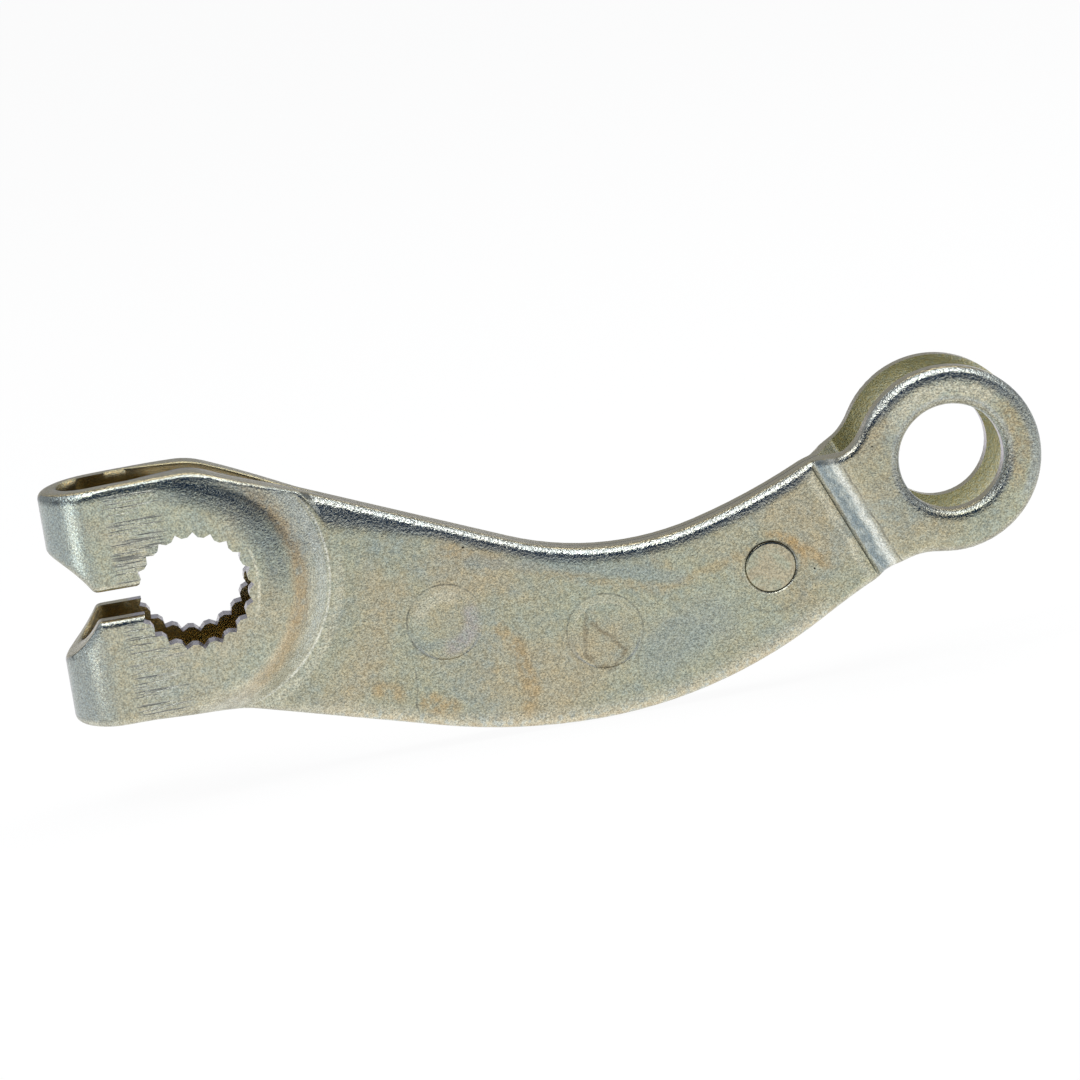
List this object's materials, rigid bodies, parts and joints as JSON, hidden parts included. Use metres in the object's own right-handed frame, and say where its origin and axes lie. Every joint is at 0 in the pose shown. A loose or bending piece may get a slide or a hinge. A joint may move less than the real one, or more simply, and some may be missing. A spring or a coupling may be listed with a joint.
{
  "type": "brake lever",
  "caption": "Folded sheet-steel slack lever with a serrated split hub for a shaft and a forked end for a clevis pin.",
  "frame": {"origin": "on the axis of the serrated shaft hole, midway between the two leaves", "axes": "+X along the arm from the shaft hole to the fork hole, +Y along the shaft away from the viewer, +Z across the arm, up on the side of the straight flank"},
  "size_m": [0.1297, 0.013, 0.0427],
  "materials": {
    "zinc_sheet": "iridescent zinc passivation on sheet steel",
    "rivet_steel": "zinc passivated rivet, ground flush",
    "weld_steel": "zinc passivated over the weld dimple"
  },
  "bodies": {
    "root": {"front_leaf": "zinc_sheet", "back_leaf": "zinc_sheet", "upper_jaw_fold": "zinc_sheet", "lower_jaw_fold": "zinc_sheet", "locating_rivet": "rivet_steel", "spot_weld_hub_end": "weld_steel", "spot_weld_fork_end": "weld_steel"}
  },
  "joints": []
}
